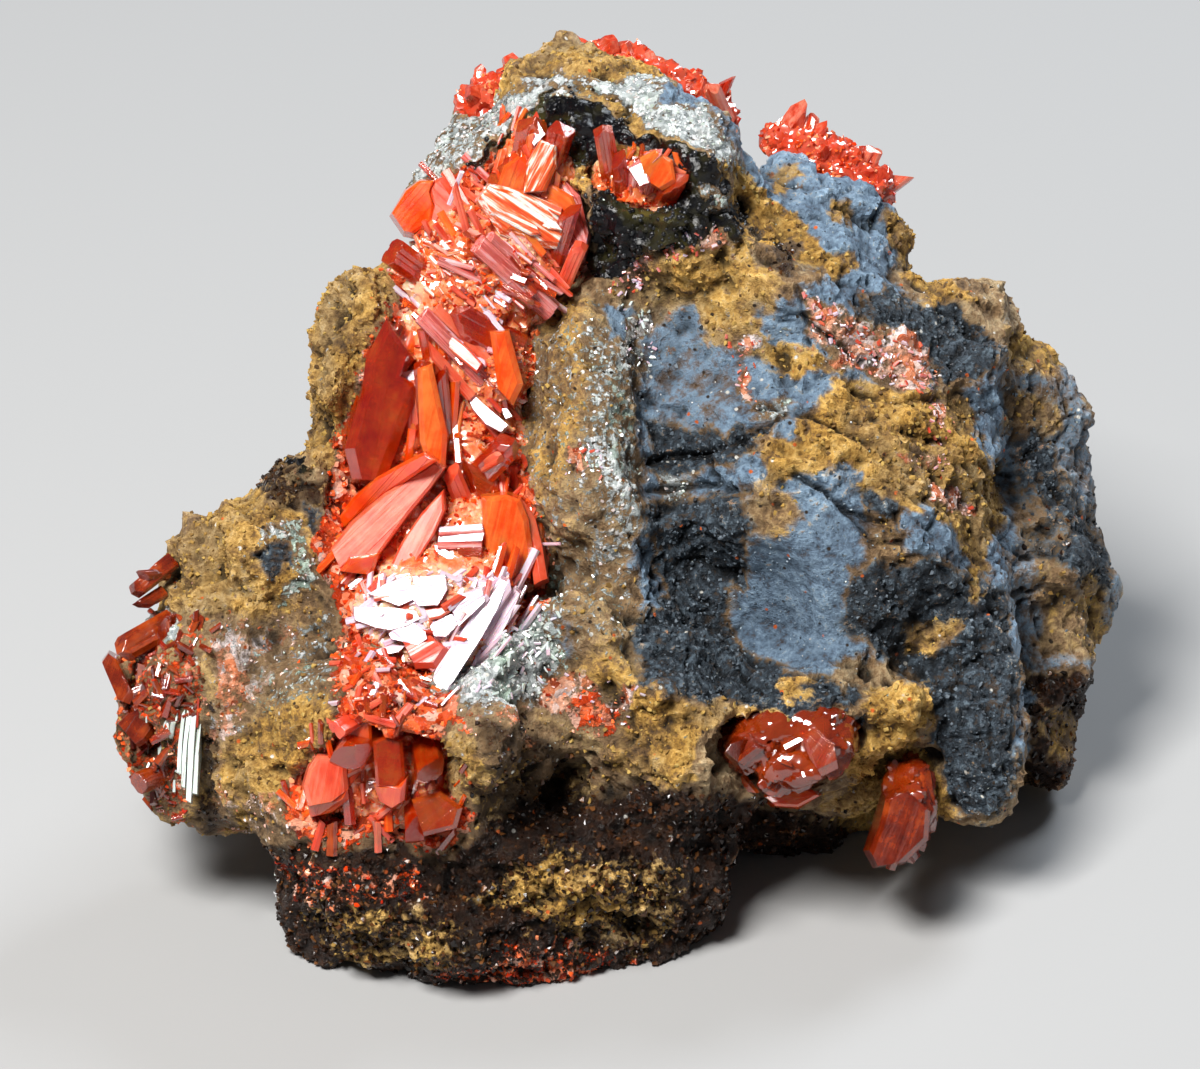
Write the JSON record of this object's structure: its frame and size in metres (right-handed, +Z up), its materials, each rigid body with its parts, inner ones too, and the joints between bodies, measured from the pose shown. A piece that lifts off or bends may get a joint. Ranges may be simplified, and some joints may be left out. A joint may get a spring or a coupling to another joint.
{
  "type": "crocoite mineral specimen",
  "caption": "Hand specimen of orange-red crocoite crystals in a seam of ochre and black gossan rock, for display on a flat surface.",
  "frame": {"origin": "a point of the broken flat that the rock rests on", "axes": "+X to the right across the show face and along the longest extent, -Y towards the front, where the show face leans back by 30 degrees, +Z up"},
  "size_m": [0.0474, 0.039, 0.0346],
  "materials": {
    "gossan": "rough, earthy",
    "seam_crystals": "vitreous, translucent crystal",
    "front_pocket_crystals": "vitreous, translucent crystal",
    "left_edge_crystals": "vitreous, translucent crystal",
    "left_blade_crystal": "vitreous, translucent crystal",
    "left_tip_crystal": "vitreous, translucent crystal",
    "red_knob_crystals": "vitreous, translucent crystal",
    "hanging_crystals": "vitreous, translucent crystal",
    "black_pocket_crystals": "vitreous, translucent crystal",
    "summit_rim_crystals": "vitreous, translucent crystal",
    "summit_left_crystals": "vitreous, translucent crystal",
    "shoulder_rim_crystals": "vitreous, translucent crystal"
  },
  "bodies": {
    "root": {"gossan_matrix": "gossan", "seam_crystals": "seam_crystals", "front_pocket_crystals": "front_pocket_crystals", "left_edge_crystals": "left_edge_crystals", "left_blade_crystal": "left_blade_crystal", "left_tip_crystal": "left_tip_crystal", "red_knob_crystals": "red_knob_crystals", "hanging_crystals": "hanging_crystals", "black_pocket_crystals": "black_pocket_crystals", "summit_rim_crystals": "summit_rim_crystals", "summit_left_crystals": "summit_left_crystals", "shoulder_rim_crystals": "shoulder_rim_crystals"}
  },
  "joints": []
}
